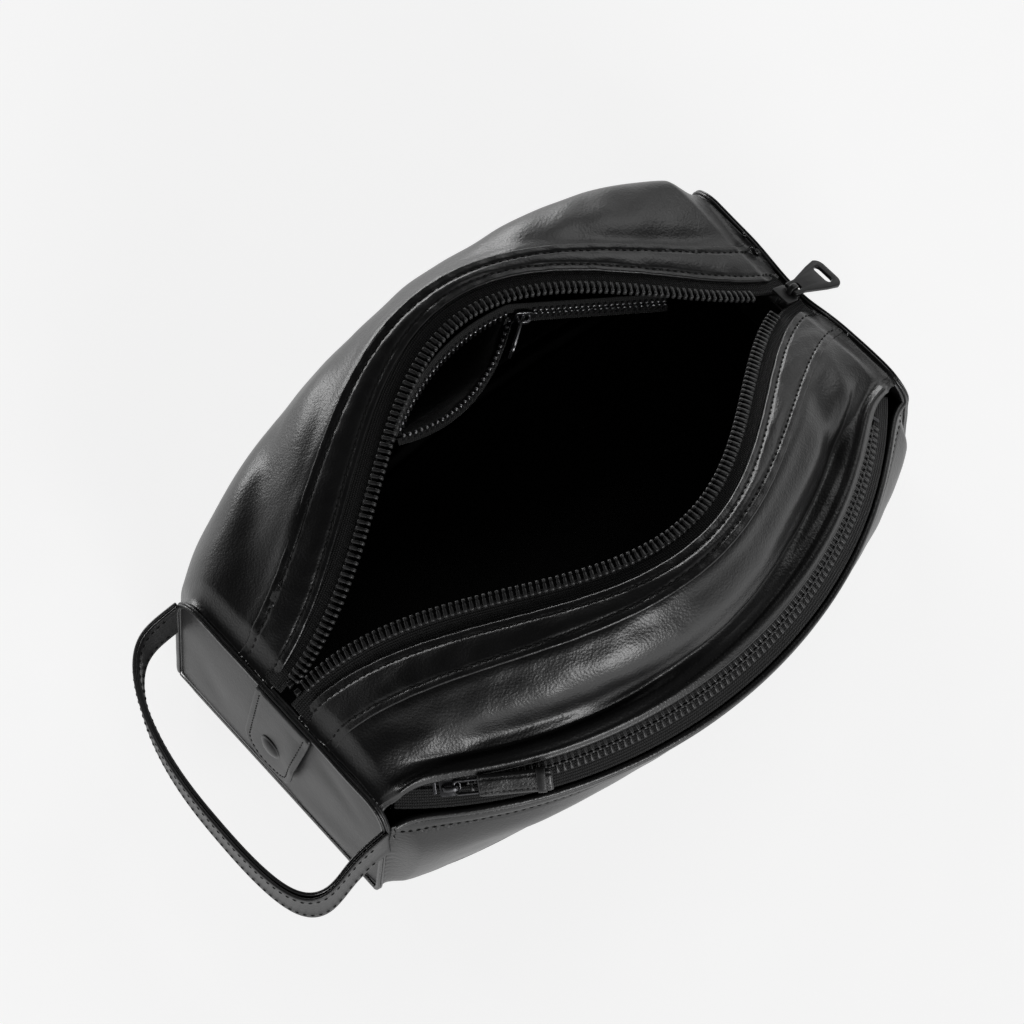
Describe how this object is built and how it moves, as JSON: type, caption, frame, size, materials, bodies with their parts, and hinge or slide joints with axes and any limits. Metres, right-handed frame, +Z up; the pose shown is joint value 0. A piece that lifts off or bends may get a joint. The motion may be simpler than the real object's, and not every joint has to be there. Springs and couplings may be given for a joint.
{
  "type": "leather kit bag",
  "caption": "Soft leather kit bag on a flat base with an open zip mouth, a zip front pocket, an inner zip pocket, a studded end tab and a side carrying strap.",
  "frame": {"origin": "middle of the underside of the base panel, on the floor", "axes": "+X along the bag towards the main slider's end, -Y is the pocket side, +Z up out of the mouth"},
  "size_m": [0.3303, 0.2053, 0.1159],
  "materials": {
    "leather_body": "smooth grained, satin",
    "leather_panel": "fine grain, matte",
    "lining_cloth": "plain weave",
    "zip_tape": "ribbed weave",
    "zip_teeth": "moulded, satin",
    "black_metal": "black enamel, satin",
    "nickel": "plated, worn",
    "stiffener": "plain board"
  },
  "bodies": {
    "root": {"front_top_panel": "leather_body", "front_pocket_panel": "leather_body", "back_panel": "leather_body", "base_panel": "leather_body", "left_seam_welt": "leather_body", "right_seam_welt": "leather_body", "front_zip_facing": "leather_body", "back_zip_facing": "leather_body", "pocket_rim": "leather_body", "handle_root_front": "leather_body", "handle_root_back": "leather_body", "left_end_panel": "leather_panel", "right_end_panel": "leather_panel", "end_tab": "leather_panel", "pocket_lining": "lining_cloth", "lining_front": "lining_cloth", "lining_back": "lining_cloth", "lining_base": "lining_cloth", "lining_left": "lining_cloth", "lining_right": "lining_cloth", "inner_pocket_panel": "lining_cloth", "front_main_tape": "zip_tape", "back_main_tape": "zip_tape", "pocket_upper_tape": "zip_tape", "pocket_lower_tape": "zip_tape", "inner_upper_tape": "zip_tape", "inner_lower_tape": "zip_tape", "front_main_teeth": "zip_teeth", "back_main_teeth": "zip_teeth", "pocket_upper_teeth": "zip_teeth", "pocket_lower_teeth": "zip_teeth", "stud_cap": "black_metal", "main_top_stops": "nickel", "main_bottom_stop": "nickel", "pocket_end_stops": "nickel", "stud_post": "nickel", "stud_washer": "nickel", "inner_upper_teeth": "nickel", "inner_lower_teeth": "nickel", "base_board": "stiffener"},
    "main_slide": {"main_slider": "black_metal"},
    "main_pull": {"main_puller": "black_metal"},
    "pocket_slide": {"pocket_slider": "nickel"},
    "pocket_pull": {"pocket_puller": "nickel", "pocket_pull_tab": "leather_body", "pocket_pull_clip": "nickel"},
    "inner_slide": {"inner_slider": "nickel"},
    "inner_pull": {"inner_puller": "nickel"},
    "handle": {"handle_strap": "leather_panel", "handle_lining": "leather_body"}
  },
  "joints": [
    {"name": "main_zip_travel", "type": "slide", "parent": "root", "child": "main_slide", "axis": [-0.8414, 0, 0.5404], "range_m": [0, 0.006]},
    {"name": "main_puller_swing", "type": "hinge", "parent": "main_slide", "child": "main_pull", "pos_m": [0.12834, 0, 0.07194], "axis": [0, 1, 0], "range_deg": [-160, 8]},
    {"name": "pocket_zip_travel", "type": "hinge", "parent": "root", "child": "pocket_slide", "pos_m": [0, 0.06397, 0.04691], "axis": [0, 0.1893, 0.9819], "range_deg": [0, 64]},
    {"name": "pocket_puller_swing", "type": "hinge", "parent": "pocket_slide", "child": "pocket_pull", "pos_m": [-0.10694, -0.06783, 0.07434], "axis": [0.4045, 0.6355, 0.6576], "range_deg": [-140, 0]},
    {"name": "inner_zip_travel", "type": "slide", "parent": "root", "child": "inner_slide", "axis": [0.8462, -0.4701, -0.2507], "range_m": [0, 0.05]},
    {"name": "inner_puller_swing", "type": "hinge", "parent": "inner_slide", "child": "inner_pull", "pos_m": [0.03192, 0.05067, 0.09502], "axis": [0.2192, -0.1218, 0.9681], "range_deg": [-6, 100]},
    {"name": "strap_swing", "type": "hinge", "parent": "root", "child": "handle", "pos_m": [-0.14868, 0, 0.051], "axis": [0, 1, 0], "range_deg": [-25, 55], "stiffness_Nm_per_rad": 0.05, "springref_deg": 1.72}
  ]
}
